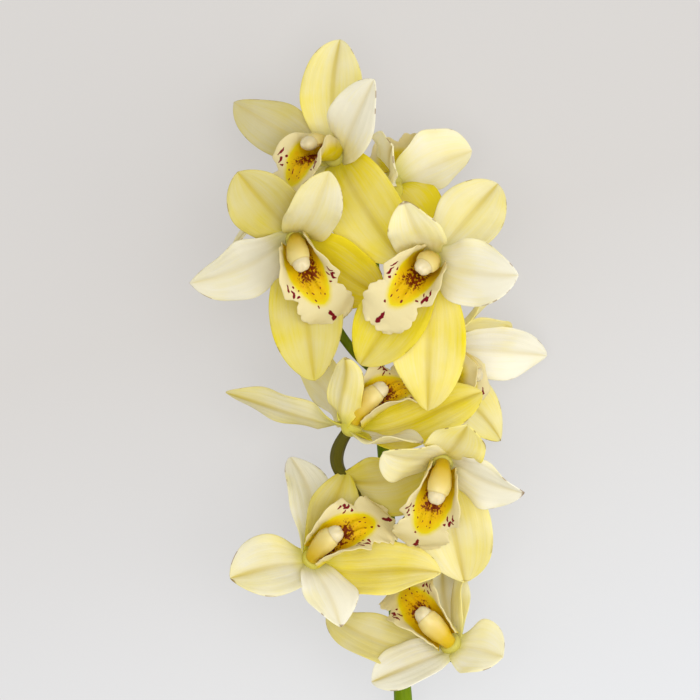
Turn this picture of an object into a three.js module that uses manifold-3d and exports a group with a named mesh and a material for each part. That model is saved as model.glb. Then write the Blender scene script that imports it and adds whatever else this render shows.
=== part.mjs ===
// Cymbidium orchid, one cut flower stem with nine blooms, lying on a flat surface.
// Millimetres, +Z up. +Y runs along the stem from the cut end to the top bloom.
// The layout below puts the surface at z = 0 and y = 0 just under the lowest bloom. The finished group is
// then moved so that its origin is the bottom centre of its box.

import * as THREE from "three";
import { LoftGeometry } from "three/addons/geometries/LoftGeometry.js";
import { mergeVertices } from "three/addons/utils/BufferGeometryUtils.js";
import Module from "manifold-3d";

const wasm = await Module();
wasm.setup();

// ---------------------------------------------------------------- driving dimensions, mm

const BOX_CENTRE = [1.2, 42.4]; // layout point that lies over the middle of the finished box
const TEPAL_THICKNESS = 1.2;
const TEPAL_EDGE_THICKNESS = 0.8;
const TEPAL_ROWS = 7;
const TEPAL_COLUMNS = 4;
const CLAW_SHARE = 0.42; // a tepal's width at its root, as a share of its greatest width
const WIDEST_AT = 0.52; // where along its length a tepal is widest
const CUP = 0.1; // a tepal's further rise to its edges, as a share of its half-width
const ROLL_SETS_IN = 4; // a rolled tepal has turned fully by a quarter of its length
const LIP_THICKNESS = 1.0;
const LIP_ROWS = 10;
const LIP_COLUMNS = 6;
const JOINT_GAP = 0.3; // between a bloom's pieces where they meet

// ---------------------------------------------------------------- vectors

const vec = (a) => new THREE.Vector3(...a);
const mix = (a, b, t) => a + (b - a) * t;

// Value at t of a smooth line through [t, value] pairs.
function through(pairs, t) {
  let i = 0;
  while (i < pairs.length - 2 && t > pairs[i + 1][0]) i++;
  const [[t0, a], [t1, b]] = [pairs[i], pairs[i + 1]];
  const share = THREE.MathUtils.clamp((t - t0) / (t1 - t0), 0, 1);
  return mix(a, b, share * share * (3 - 2 * share));
}

// ---------------------------------------------------------------- solids

// A geometry as a manifold-3d solid: only its positions, with shared points merged.
function solid(geometry) {
  const bare = new THREE.BufferGeometry();
  bare.setAttribute("position", geometry.getAttribute("position"));
  bare.setIndex(geometry.getIndex());
  const merged = mergeVertices(bare, 1e-4);
  return new wasm.Manifold(
    new wasm.Mesh({
      numProp: 3,
      vertProperties: merged.attributes.position.array,
      triVerts: new Uint32Array(merged.index.array),
    }),
  );
}

// A manifold-3d solid as a geometry.
function geometryOf(made) {
  const mesh = made.getMesh();
  const geometry = new THREE.BufferGeometry();
  geometry.setAttribute("position", new THREE.BufferAttribute(mesh.vertProperties, 3));
  geometry.setIndex(new THREE.BufferAttribute(mesh.triVerts, 1));
  geometry.computeVertexNormals();
  return geometry;
}

const loft = (sections) => new LoftGeometry(sections, { capStart: true, capEnd: true });

// Overlapping closed pieces as one body. A pocket that the union seals is filled, and a scrap is dropped.
function joined(geometries) {
  const whole = geometries.map(solid).reduce((sum, one) => sum.add(one));
  const largest = whole.decompose().sort((a, b) => b.volume() - a.volume())[0];
  return geometryOf(largest);
}

// A point kept at or above a height: what would reach below the surface lies flat on it.
function lifted(point, height) {
  point.z = Math.max(point.z, height);
  return point;
}

// A closed blade from its middle surface, a grid of points: rows run along it and columns across it.
// Both faces stand off the grid by half of thickness(row share, across -1 to 1), and they are split into
// triangles along the same diagonals.
function blade(grid, thickness) {
  const rows = grid.length - 1;
  const columns = grid[0].length - 1;
  const at = (i, j) => grid[Math.min(Math.max(i, 0), rows)][Math.min(Math.max(j, 0), columns)];
  const upper = [];
  const lower = [];
  grid.forEach((row, i) =>
    row.forEach((point, j) => {
      const along = at(i + 1, j).clone().sub(at(i - 1, j));
      const across = at(i, j + 1).clone().sub(at(i, j - 1));
      const thick = thickness(i / rows, (2 * j) / columns - 1);
      const normal = across.cross(along).normalize().multiplyScalar(thick / 2);
      upper.push(lifted(point.clone().add(normal), normal.z > 0 ? thick : 0));
      lower.push(lifted(point.clone().sub(normal), normal.z > 0 ? 0 : thick));
    }),
  );
  const up = (i, j) => i * (columns + 1) + j;
  const low = (i, j) => upper.length + up(i, j);
  const corners = [];
  const quad = (a, b, c, d) => corners.push(a, b, c, a, c, d);
  for (let i = 0; i < rows; i++) {
    for (let j = 0; j < columns; j++) {
      quad(up(i, j), up(i, j + 1), up(i + 1, j + 1), up(i + 1, j));
      quad(low(i, j), low(i + 1, j), low(i + 1, j + 1), low(i, j + 1));
    }
    quad(up(i, 0), up(i + 1, 0), low(i + 1, 0), low(i, 0));
    quad(up(i, columns), low(i, columns), low(i + 1, columns), up(i + 1, columns));
  }
  for (let j = 0; j < columns; j++) {
    quad(up(0, j), low(0, j), low(0, j + 1), up(0, j + 1));
    quad(up(rows, j), up(rows, j + 1), low(rows, j + 1), low(rows, j));
  }
  const geometry = new THREE.BufferGeometry().setFromPoints([...upper, ...lower]);
  geometry.setIndex(corners);
  geometry.computeVertexNormals();
  return geometry;
}

// ---------------------------------------------------------------- flower stem

const STEM_LINE = [
  [12, -200, 4.6],
  [15, -120, 10],
  [15.5, -50, 19],
  [14.5, 0, 27],
  [11, 40, 33],
  [8, 80, 37],
  [5, 120, 39],
  [3, 165, 40],
  [1, 200, 42],
  [-0.5, 211, 44],
].map(vec);
const STEM_CURVE = new THREE.CatmullRomCurve3(STEM_LINE, false, "centripetal");
const STEM_RADIUS = [
  [0, 4.6],
  [0.3, 4.4],
  [0.46, 4.2],
  [0.56, 3.1],
  [0.75, 2.7],
  [1, 2.2],
];
const STEM_STEPS = 22;
const STEM_SIDES = 10;
const PEDICEL_STEPS = 6;
const PEDICEL_SIDES = 7;
const PEDICEL_RADIUS = [
  [0, 2.1],
  [0.45, 2.2],
  [0.8, 2.9],
  [1, 2.7],
];

// A round stalk along a curve, its radius given by [share, radius] pairs.
function stalk(curve, radius, steps, sides) {
  const sections = [];
  const side = new THREE.Vector3(0, 0, 1);
  for (let i = 0; i <= steps; i++) {
    const share = i / steps;
    const centre = curve.getPointAt(share);
    const tangent = curve.getTangentAt(share);
    side.addScaledVector(tangent, -side.dot(tangent)).normalize();
    const other = tangent.clone().cross(side);
    const ring = [];
    for (let k = 0; k < sides; k++) {
      const angle = (2 * Math.PI * k) / sides;
      const out = side.clone().multiplyScalar(Math.cos(angle)).addScaledVector(other, Math.sin(angle));
      ring.push(centre.clone().addScaledVector(out, through(radius, share)));
    }
    sections.push(ring);
  }
  return loft(sections);
}

// Sheathing bracts clasp the lower stem: [share of its length where one starts, the way its tip points
// round the stem in degrees].
const BRACTS = [
  [0.12, 60],
  [0.27, 215],
];
const BRACT_LENGTH = 44;
const BRACT_SHORT_SIDE = 0.45; // its length on the side away from the tip, as a share of BRACT_LENGTH
const BRACT_STEPS = 5;
const BRACT_STANDS_OFF = 1.0; // at its upper edge

// A bract: a sleeve round the stem, its upper edge slanting up to a blunt tip.
function bract([start, towards]) {
  const length = STEM_CURVE.getLength();
  const sections = [];
  for (let i = 0; i <= BRACT_STEPS; i++) {
    const ring = [];
    for (let k = 0; k < STEM_SIDES; k++) {
      const angle = (2 * Math.PI * k) / STEM_SIDES;
      const near = 0.5 + 0.5 * Math.cos(angle - THREE.MathUtils.degToRad(towards));
      const way = BRACT_LENGTH * mix(BRACT_SHORT_SIDE, 1, near ** 2) * (i / BRACT_STEPS);
      const share = start + way / length;
      const tangent = STEM_CURVE.getTangentAt(share);
      const side = new THREE.Vector3(0, 0, 1).addScaledVector(tangent, -tangent.z).normalize();
      const other = tangent.clone().cross(side);
      const radius = through(STEM_RADIUS, share) + mix(0.2, BRACT_STANDS_OFF, i / BRACT_STEPS);
      const out = side.multiplyScalar(Math.cos(angle)).addScaledVector(other, Math.sin(angle));
      ring.push(STEM_CURVE.getPointAt(share).addScaledVector(out, radius));
    }
    sections.push(ring);
  }
  return loft(sections);
}

// ---------------------------------------------------------------- blooms

// Each bloom: heart is the point where its parts meet, faces is where it looks, lip is the way its lip
// hangs, leaves is the y at which its stalk leaves the stem and out the way it sets off.
// Each tepal: tip is its tip from the heart, wide its greatest width. lift raises its start and hook its
// end towards the face and roll turns it about its length, all in degrees. fold is the slope of its two
// halves, sweep bends it sideways, and sharp goes from 0 for a round end to 1 for a pointed one.
const BLOOMS = [
  {
    name: "bloom_1",
    heart: [35.2, 23.7, 56],
    faces: [-0.55, 0.6, 0.58],
    lip: [-0.3, 0.35, -0.88],
    leaves: 24,
    out: [0.9, -0.3, 0.1],
    tepals: [
      { name: "dorsal_sepal", tip: [-34.5, -14.3, 4], wide: 32, sweep: -0.3 },
      { name: "left_petal", tip: [-53.5, 11.5, -12], wide: 24, sweep: -0.55, sharp: 0.7 },
      { name: "right_petal", tip: [21.1, -3.5, 18], wide: 27 },
      { name: "left_sepal", tip: [-3, 31.5, -34], wide: 24, roll: 20, sharp: 0.5 },
      { name: "right_sepal", tip: [2.2, 29.5, -27.5], wide: 24, roll: -20 },
    ],
  },
  {
    name: "bloom_2",
    heart: [-25, 60.2, 58],
    faces: [0.38, 0.55, 0.74],
    lip: [0.7, 0.12, -0.65],
    leaves: 58,
    out: [-0.9, -0.2, 0.1],
    tepals: [
      { name: "dorsal_sepal", tip: [-34, -6, 26], wide: 30 },
      { name: "left_petal", tip: [-9.6, 43.4, -30], wide: 22, roll: -5, sweep: 0.3 },
      { name: "right_petal", tip: [12.5, -26.7, 22], wide: 26, sharp: 0.5 },
      { name: "left_sepal", tip: [12.5, 37.4, -7], wide: 26 },
      { name: "right_sepal", tip: [55.2, -4.8, 9], wide: 28, lift: -31, sharp: 0.5 },
    ],
  },
  {
    name: "bloom_3",
    heart: [30.8, 103.2, 67],
    faces: [-0.1, -0.6, 0.79],
    lip: [-0.3, -0.95, -0.1],
    leaves: 70,
    out: [0.8, 0.5, 0.2],
    tepals: [
      { name: "dorsal_sepal", tip: [9.5, 16, 36], wide: 26 },
      { name: "left_petal", tip: [-25.4, 4.3, 27], wide: 26 },
      { name: "right_petal", tip: [34, -13, 18], wide: 26, sharp: 1 },
      { name: "left_sepal", tip: [-32, -36.6, -31], wide: 27, lift: -28, sharp: 0.3 },
      { name: "right_sepal", tip: [10, -53, -18], wide: 36, fold: 0.26, lift: 1, sharp: 0.6 },
    ],
  },
  {
    name: "bloom_4",
    heart: [-8, 118, 64],
    faces: [0.62, 0.62, 0.48],
    lip: [0.25, 0.45, -0.87],
    leaves: 72,
    out: [-0.4, 0.85, 0.3],
    tepals: [
      { name: "dorsal_sepal", tip: [-2.5, 29.4, 20], wide: 17, roll: 50, lift: -24, sharp: 0.4 },
      { name: "left_petal", tip: [-24, 26, -38], wide: 32, roll: 35 },
      { name: "right_petal", tip: [30, -6.7, 18], wide: 20, lift: -40 },
      { name: "left_sepal", tip: [-54.3, 14.3, -22], wide: 18, roll: 65, lift: -8, hook: 0, sharp: 0.5 },
      { name: "right_sepal", tip: [56.2, 14.3, -9], wide: 30, sweep: 0.25, lift: -28, sharp: 0.4 },
    ],
  },
  {
    name: "bloom_5",
    heart: [28.6, 150.5, 36],
    faces: [0.88, -0.38, 0.28],
    lip: [-0.4, -0.9, -0.05],
    leaves: 128,
    out: [0.9, 0.4, 0.1],
    tepals: [
      { name: "dorsal_sepal", tip: [33, 7, -14], wide: 32, lift: -5, hook: -10, fold: 0.4, sweep: -0.35 },
      { name: "left_petal", tip: [22, 26, 20], wide: 22 },
      { name: "right_petal", tip: [50, -2.5, -27], wide: 27, sweep: -0.15, sharp: 0.6 },
      { name: "left_sepal", tip: [29.5, -40, -26], wide: 27, lift: -28, sharp: 0.6 },
      { name: "right_sepal", tip: [10, 34, -38], wide: 24 },
    ],
  },
  {
    name: "bloom_6",
    heart: [-31.4, 198.4, 64],
    faces: [0.05, -0.45, 0.89],
    lip: [0.47, -0.78, -0.42],
    leaves: 140,
    out: [-0.8, 0.5, 0.3],
    tepals: [
      { name: "dorsal_sepal", tip: [-24.5, 27, 22], wide: 30 },
      { name: "left_petal", tip: [-45.2, -19.5, 10], wide: 27, sweep: -0.15, sharp: 0.8 },
      { name: "right_petal", tip: [19, 25, 30], wide: 32, lift: 40, hook: -45 },
      { name: "left_sepal", tip: [7.5, -61, -2], wide: 32, lift: -16 },
      { name: "right_sepal", tip: [29, -26, -4], wide: 26, roll: 20, sharp: 0.6 },
    ],
  },
  {
    name: "bloom_7",
    heart: [25.8, 188.3, 70],
    faces: [-0.1, -0.05, 0.99],
    lip: [-0.65, -0.76, 0],
    leaves: 160,
    out: [0.7, 0.5, 0.5],
    tepals: [
      { name: "dorsal_sepal", tip: [29, 33.5, -12], wide: 29 },
      { name: "left_petal", tip: [-12, 24, 35], wide: 24, lift: 0, hook: -45, roll: -10 },
      { name: "right_petal", tip: [36, -6.5, 26], wide: 29, sweep: 0.15, sharp: 0.4 },
      { name: "left_sepal", tip: [-30, -44, 1.5], wide: 30 },
      { name: "right_sepal", tip: [-1.3, -63.6, -2], wide: 33, sharp: 0.3 },
    ],
  },
  {
    name: "bloom_8",
    heart: [9.5, 222.7, 42],
    faces: [-0.45, 0.45, -0.77],
    lip: [0.92, 0.3, -0.25],
    leaves: 205,
    out: [0.8, 0.3, 0.1],
    tepals: [
      { name: "dorsal_sepal", tip: [14, -40, -12], wide: 22 },
      { name: "left_petal", tip: [35, 18, -10], wide: 26 },
      { name: "right_petal", tip: [17, -15, 14], wide: 22 },
      { name: "left_sepal", tip: [-43, -18, -44.5], wide: 24, lift: 12, hook: -46 },
      { name: "right_sepal", tip: [0, 14.6, 30], wide: 24, roll: 80 },
    ],
  },
  {
    name: "bloom_9",
    heart: [-14.5, 234, 47],
    faces: [-0.52, 0.35, 0.77],
    lip: [-0.31, -0.93, 0.2],
    leaves: 211,
    out: [-0.5, 0.8, 0.6],
    tepals: [
      { name: "dorsal_sepal", tip: [4.6, 50.9, -10], wide: 28, lift: 25, hook: -20, roll: 20 },
      { name: "left_petal", tip: [-44.6, 24.4, -12], wide: 24, sweep: -0.1, lift: 0, sharp: 0.4 },
      { name: "right_petal", tip: [19, 29, 43], wide: 24, roll: 40, sweep: 0.15 },
      { name: "left_sepal", tip: [-46, -39, -20], wide: 16, roll: 30 },
      { name: "right_sepal", tip: [22, -41, 30], wide: 26, lift: 30 },
    ],
  },
];

// The bloom's own axes: right, up (away from the lip) and front.
function axesOf(bloom) {
  const front = vec(bloom.faces).normalize();
  const lipward = vec(bloom.lip);
  lipward.addScaledVector(front, -lipward.dot(front)).normalize();
  const up = lipward.negate();
  return { heart: vec(bloom.heart), right: up.clone().cross(front), up, front };
}

// A point given in the bloom's own axes.
const inBloom = (axes, x, y, z) =>
  axes.heart
    .clone()
    .addScaledVector(axes.right, x)
    .addScaledVector(axes.up, y)
    .addScaledVector(axes.front, z);

// The receptacle: a short barrel that carries the tepals. Its flat front face is at HUB_FRONT.
const HUB_FRONT = 3;
const HUB_BACK = -4;
const HUB_PROFILE = [
  [HUB_BACK, 3.0],
  [-2, 4.6],
  [1, 5.0],
  [HUB_FRONT, 4.4],
];
const HUB_SIDES = 8;

function ring(axes, y, z, width, height, sides) {
  const points = [];
  for (let k = 0; k < sides; k++) {
    const angle = (2 * Math.PI * k) / sides;
    points.push(inBloom(axes, width * Math.cos(angle), y + height * Math.sin(angle), z));
  }
  return points;
}

const receptacle = (axes) =>
  loft(HUB_PROFILE.map(([z, radius]) => ring(axes, 0, z, radius, radius, HUB_SIDES)));

// Half-width of a tepal at share t of its length, for a greatest half-width of 1. Its end is round where
// sharp is 0 and tapers to a point where it is 1.
function tepalOutline(t, sharp) {
  if (t < WIDEST_AT) return mix(CLAW_SHARE, 1, Math.sin((Math.PI / 2) * (t / WIDEST_AT)) ** 1.1);
  const beyond = (t - WIDEST_AT) / (1 - WIDEST_AT);
  return Math.max(0.05, (1 - beyond ** mix(2.4, 1.6, sharp)) ** mix(0.62, 0.85, sharp));
}

// A tepal's middle surface. Its midrib is a cubic curve from the receptacle to the tip, and each half
// slopes away from the midrib by the fold.
function tepalGrid(axes, tepal, rows, columns) {
  const { tip, wide, lift = 12, hook = -14, roll = 0, fold = 0.16, sweep = 0, sharp = 0.1 } = tepal;
  const end = axes.heart.clone().add(vec(tip));
  const outward = vec(tip);
  outward.addScaledVector(axes.front, -outward.dot(axes.front)).normalize();
  const root = axes.heart.clone().addScaledVector(outward, 2.2).addScaledVector(axes.front, -1.2);
  const chord = end.clone().sub(root);
  const reach = chord.length() * 0.38;
  chord.normalize();
  const face = axes.front.clone().addScaledVector(chord, -axes.front.dot(chord)).normalize();
  const side = chord.clone().cross(face);
  const leaning = (degrees, sideways) =>
    chord
      .clone()
      .addScaledVector(face, Math.tan(THREE.MathUtils.degToRad(degrees)))
      .addScaledVector(side, sideways)
      .normalize();
  const midrib = new THREE.CubicBezierCurve3(
    root,
    root.clone().addScaledVector(leaning(lift, sweep), reach),
    end.clone().addScaledVector(leaning(hook, -sweep), -reach),
    end,
  );
  const grid = [];
  for (let i = 0; i <= rows; i++) {
    const t = 1 - (1 - i / rows) ** 1.25;
    const centre = midrib.getPoint(t);
    const along = midrib.getTangent(t);
    const across = side.clone().addScaledVector(along, -side.dot(along)).normalize();
    across.applyAxisAngle(along, THREE.MathUtils.degToRad(roll) * Math.min(1, t * ROLL_SETS_IN));
    const normal = across.clone().cross(along);
    const half = (wide / 2) * tepalOutline(t, sharp);
    const row = [];
    for (let j = 0; j <= columns; j++) {
      const s = (2 * j) / columns - 1;
      const rise = fold * (Math.sqrt(s * s + 0.02) - 0.14) + CUP * s * s;
      row.push(
        centre
          .clone()
          .addScaledVector(across, (half * s) / Math.hypot(1, fold))
          .addScaledVector(normal, half * rise),
      );
    }
    grid.push(row);
  }
  return grid;
}

const tepalThickness = (t, s) =>
  mix(TEPAL_THICKNESS, TEPAL_EDGE_THICKNESS, Math.max(Math.abs(s), t));

// ---------------------------------------------------------------- lip

// The lip's middle line in the bloom's up and front axes: it runs forward under the column, then turns
// down into the middle lobe.
const LIP_LINE = [
  [-2.9, HUB_FRONT + JOINT_GAP],
  [-5, 8.3],
  [-7.5, 13.8],
  [-11.5, 18.5],
  [-17.5, 21.5],
  [-25, 21.8],
  [-33.5, 18.2],
].map(([y, z]) => new THREE.Vector3(0, y, z));
const LIP_CURVE = new THREE.CatmullRomCurve3(LIP_LINE, false, "centripetal");
// Half of its width, measured along the surface: the side lobes, the notch and the middle lobe.
const LIP_HALF_WIDTH = [
  [0, 3.6],
  [0.13, 9.2],
  [0.27, 12.6],
  [0.42, 13.4],
  [0.52, 12.4],
  [0.64, 8.6],
  [0.76, 9.8],
  [0.88, 8.2],
  [1, 3],
];
// How much it is bent across, 1/mm: a channel behind, and nearly flat in the middle lobe.
const LIP_BEND = [
  [0, 0.1],
  [0.13, 0.08],
  [0.3, 0.074],
  [0.45, 0.055],
  [0.62, 0.02],
  [0.8, -0.01],
  [1, -0.03],
];

function lipGrid(axes, rows, columns) {
  const grid = [];
  for (let i = 0; i <= rows; i++) {
    const t = i / rows;
    const centre = LIP_CURVE.getPointAt(t);
    const along = LIP_CURVE.getTangentAt(t);
    const normal = new THREE.Vector3(0, along.z, -along.y); // towards the column
    const halfWidth = through(LIP_HALF_WIDTH, t);
    const bend = through(LIP_BEND, t);
    const row = [];
    for (let j = 0; j <= columns; j++) {
      const s = ((2 * j) / columns - 1) * halfWidth;
      const turn = Math.abs(bend) < 1e-4 ? 1e-4 : bend;
      const x = Math.sin(turn * s) / turn;
      const rise = (1 - Math.cos(turn * s)) / turn;
      row.push(inBloom(axes, x, centre.y + normal.y * rise, centre.z + normal.z * rise));
    }
    grid.push(row);
  }
  return grid;
}

// ---------------------------------------------------------------- column and anther cap

const COLUMN_LINE = [
  [1.2, HUB_FRONT + JOINT_GAP],
  [1.8, 8],
  [1.6, 12.8],
  [0.3, 16.8],
  [-2.2, 20.2],
].map(([y, z]) => new THREE.Vector3(0, y, z));
const COLUMN_CURVE = new THREE.CatmullRomCurve3(COLUMN_LINE, false, "centripetal");
const COLUMN_HALF_WIDTH = [
  [0, 3.4],
  [0.5, 4.7],
  [0.85, 5.3],
  [1, 4.9],
];
const COLUMN_HALF_HEIGHT = [
  [0, 2.8],
  [0.5, 2.9],
  [0.85, 3.4],
  [1, 3.2],
];
const COLUMN_ROWS = 6;
const COLUMN_SIDES = 8;
// The anther cap, a small helmet on the column's end: [way along the column's end direction, size].
const CAP_PROFILE = [
  [0, 0.9],
  [1.4, 0.98],
  [3.2, 0.8],
  [4.3, 0.4],
];

function columnRing(axes, share, beyond, size) {
  const centre = COLUMN_CURVE.getPointAt(share);
  const along = share ? COLUMN_CURVE.getTangentAt(share) : new THREE.Vector3(0, 0, 1);
  centre.addScaledVector(along, beyond);
  const width = through(COLUMN_HALF_WIDTH, share) * size;
  const height = through(COLUMN_HALF_HEIGHT, share) * size;
  const points = [];
  for (let k = 0; k < COLUMN_SIDES; k++) {
    const angle = (2 * Math.PI * (k + 0.5)) / COLUMN_SIDES;
    const rise = height * Math.sin(angle);
    points.push(
      inBloom(axes, width * Math.cos(angle), centre.y + along.z * rise, centre.z - along.y * rise),
    );
  }
  return points;
}

function column(axes) {
  const sections = [];
  for (let i = 0; i <= COLUMN_ROWS; i++) sections.push(columnRing(axes, i / COLUMN_ROWS, 0, 1));
  return loft(sections);
}

const antherCap = (axes) =>
  loft(CAP_PROFILE.map(([way, size]) => columnRing(axes, 1, JOINT_GAP + way, size)));

// ---------------------------------------------------------------- assembly

const TEPAL_COLOUR = new THREE.MeshStandardMaterial({ color: 0xf0e29a, roughness: 0.5, metalness: 0 });
const LIP_COLOUR = new THREE.MeshStandardMaterial({ color: 0xf3df8a, roughness: 0.5, metalness: 0 });
const COLUMN_COLOUR = new THREE.MeshStandardMaterial({ color: 0xf2d95c, roughness: 0.45, metalness: 0 });
const CAP_COLOUR = new THREE.MeshStandardMaterial({ color: 0xf6edd6, roughness: 0.4, metalness: 0 });
const STEM_COLOUR = new THREE.MeshStandardMaterial({ color: 0x5f8526, roughness: 0.5, metalness: 0 });

const plant = new THREE.Group();

function add(name, geometry, material) {
  const mesh = new THREE.Mesh(geometry, material);
  mesh.name = name;
  plant.add(mesh);
}

// The share of the stem's length at which it passes a given y.
function shareAtY(y) {
  let low = 0;
  let high = 1;
  for (let i = 0; i < 30; i++) {
    const middle = (low + high) / 2;
    if (STEM_CURVE.getPointAt(middle).y < y) low = middle;
    else high = middle;
  }
  return low;
}

// A bloom's stalk and ovary: from inside the stem to just behind the receptacle.
function pedicel(bloom, axes) {
  const start = STEM_CURVE.getPointAt(shareAtY(bloom.leaves));
  const end = inBloom(axes, 0, 0, HUB_BACK - JOINT_GAP);
  const apart = start.distanceTo(end);
  const curve = new THREE.CubicBezierCurve3(
    start,
    start.clone().addScaledVector(vec(bloom.out).normalize(), apart * 0.45),
    end.clone().addScaledVector(axes.front, -apart * 0.3),
    end,
  );
  return stalk(curve, PEDICEL_RADIUS, PEDICEL_STEPS, PEDICEL_SIDES);
}

const mainStalk = stalk(STEM_CURVE, STEM_RADIUS, STEM_STEPS, STEM_SIDES);
const stalks = [mainStalk, ...BRACTS.map(bract)];

for (const bloom of BLOOMS) {
  const axes = axesOf(bloom);
  const tepals = bloom.tepals.map((tepal) =>
    blade(tepalGrid(axes, tepal, TEPAL_ROWS, TEPAL_COLUMNS), tepalThickness),
  );
  add(bloom.name + "_tepals", joined([receptacle(axes), ...tepals]), TEPAL_COLOUR);
  add(bloom.name + "_lip", blade(lipGrid(axes, LIP_ROWS, LIP_COLUMNS), () => LIP_THICKNESS), LIP_COLOUR);
  add(bloom.name + "_column", column(axes), COLUMN_COLOUR);
  add(bloom.name + "_anther_cap", antherCap(axes), CAP_COLOUR);
  stalks.push(pedicel(bloom, axes));
}
add("stem", joined(stalks), STEM_COLOUR);

plant.position.set(-BOX_CENTRE[0], -BOX_CENTRE[1], 0);

export default plant;
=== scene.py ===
# Cymbidium orchid: one cut stem with nine open blooms, lying on a pale surface.
# Shapes are worked out in millimetres in the layout of the solids, and make_piece moves them to metres in
# the frame. The sections follow the plant from the stem outwards.

import functools

import bpy
import numpy as np
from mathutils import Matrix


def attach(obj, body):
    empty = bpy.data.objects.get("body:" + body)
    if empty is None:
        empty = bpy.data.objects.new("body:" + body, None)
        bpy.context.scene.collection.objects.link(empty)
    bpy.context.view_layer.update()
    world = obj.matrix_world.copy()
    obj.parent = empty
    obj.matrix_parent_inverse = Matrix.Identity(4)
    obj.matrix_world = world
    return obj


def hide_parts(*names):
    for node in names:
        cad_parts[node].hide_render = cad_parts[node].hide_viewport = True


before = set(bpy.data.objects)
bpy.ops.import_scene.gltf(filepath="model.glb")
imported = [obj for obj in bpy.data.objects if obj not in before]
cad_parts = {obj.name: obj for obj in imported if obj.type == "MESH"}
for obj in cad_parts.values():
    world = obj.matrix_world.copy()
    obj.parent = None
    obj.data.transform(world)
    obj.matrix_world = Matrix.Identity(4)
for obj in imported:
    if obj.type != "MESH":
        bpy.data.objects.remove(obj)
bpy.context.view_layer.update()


# ------------------------ flower stalk
# The main stalk is fleshy, round and faintly ribbed, about 9 mm across below the flowers, and thins
# towards the tip. It was cut square with a blade at its lower end.

MM = 0.001
LAYOUT_CENTRE = np.array([1.2, 42.4, 0.0])  # the layout's point over the frame's origin
STALK_LINE = [
    (12, -200, 4.6), (15, -120, 10), (15.5, -50, 19), (14.5, 0, 27), (11, 40, 33),
    (8, 80, 37), (5, 120, 39), (3, 165, 40), (1, 200, 42), (-0.5, 211, 44),
]
STALK_RADIUS = [(0, 4.5), (0.3, 4.3), (0.46, 4.1), (0.56, 3.05), (0.75, 2.65), (1, 2.0)]
STALK_ROWS = 320
STALK_SIDES = 40
STALK_RIBS = 11
STALK_TWIST = 3  # phase in radians that the ribs gain over its length
RIB_DEPTH = 0.012  # as a share of the radius
CUT_RINGS = (0.25, 0.6, 0.88)  # rings on the cut face, as shares of its radius
SPLINE_POINTS = 900  # points on a line before it is spaced evenly


def linear(code):
    """An sRGB hex colour as linear red, green, blue and a full alpha."""
    shares = np.array([int(code[i : i + 2], 16) for i in (1, 3, 5)]) / 255
    low = shares / 12.92
    high = ((shares + 0.055) / 1.055) ** 2.4
    return (*np.where(shares <= 0.04045, low, high), 1.0)


def node(tree, kind, inputs=(), out=None, **settings):
    """Adds one shader node and gives back its output socket: the one that out names, or else the first in
    use. settings set its options. inputs fills its sockets by name, or as a list those in use in order,
    with a value, a hex colour, or the output socket of another node as a link."""
    made = tree.nodes.new("ShaderNode" + kind)
    for name, value in settings.items():
        setattr(made, name, value)
    sockets = made.inputs
    if not isinstance(inputs, dict):
        sockets = [socket for socket in made.inputs if socket.enabled]
        inputs = dict(enumerate(inputs))
    for key, value in inputs.items():
        if isinstance(value, bpy.types.NodeSocket):
            tree.links.new(value, sockets[key])
        else:
            sockets[key].default_value = linear(value) if isinstance(value, str) else value
    return made.outputs[out] if out else next((socket for socket in made.outputs if socket.enabled), None)


def make_material(name, finish):
    """A node material with the shader that finish gives back. finish is a function that adds the nodes: it
    gets node() set to add to this material, and the place on the object."""
    material = bpy.data.materials.new(name)
    material.use_nodes = True
    material.node_tree.nodes.clear()
    add = functools.partial(node, material.node_tree)
    add("OutputMaterial", {"Surface": finish(add, add("TexCoord", out="Object"))})
    return material


def unit(vectors):
    """Vectors scaled to length 1."""
    vectors = np.asarray(vectors, float)
    return vectors / np.linalg.norm(vectors, axis=-1, keepdims=True)


def through(pairs, t):
    """Value at t of a line through (t, value) pairs, level at each of them and smooth between."""
    at, value = np.array(pairs, float).T
    i = np.clip(np.searchsorted(at, t, side="right") - 1, 0, len(at) - 2)
    share = np.clip((t - at[i]) / (at[i + 1] - at[i]), 0, 1)
    return value[i] + (value[i + 1] - value[i]) * share * share * (3 - 2 * share)


def once_round(count):
    """Angles in equal steps once round, as one row."""
    return np.linspace(0, 2 * np.pi, count, endpoint=False)[None]


def window(t, start, end, soft):
    """1 between start and end and 0 outside, with a soft step at both. It may be open at either end."""
    rise = np.clip((t - start) / soft + 0.5, 0, 1)
    fall = np.clip((end - t) / soft + 0.5, 0, 1)
    return rise * rise * (3 - 2 * rise) * fall * fall * (3 - 2 * fall)


def distances(line):
    """How far along a line each of its points is."""
    return np.concatenate([[0], np.cumsum(np.linalg.norm(np.diff(line, axis=0), axis=1))])


def smooth_line(points, count):
    """Evenly spaced points on a smooth line through the given ones: a cubic between each two, with its
    slope at each taken from the neighbours."""
    points = np.array(points, float)
    knots = distances(points)
    slopes = np.gradient(points, knots, axis=0)
    fine = np.linspace(0, knots[-1], SPLINE_POINTS)
    i = np.clip(np.searchsorted(knots, fine, side="right") - 1, 0, len(knots) - 2)
    span = (knots[i + 1] - knots[i])[:, None]
    u = (fine - knots[i])[:, None] / span
    line = (
        (2 * u**3 - 3 * u**2 + 1) * points[i]
        + (u**3 - 2 * u**2 + u) * span * slopes[i]
        + (3 * u**2 - 2 * u**3) * points[i + 1]
        + (u**3 - u**2) * span * slopes[i + 1]
    )
    return evenly(line, count)


def evenly(line, count):
    """The same line with its points at equal distances."""
    at = distances(line)
    even = np.linspace(0, at[-1], count)
    return np.stack([np.interp(even, at, line[:, k]) for k in range(3)], -1)


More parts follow.
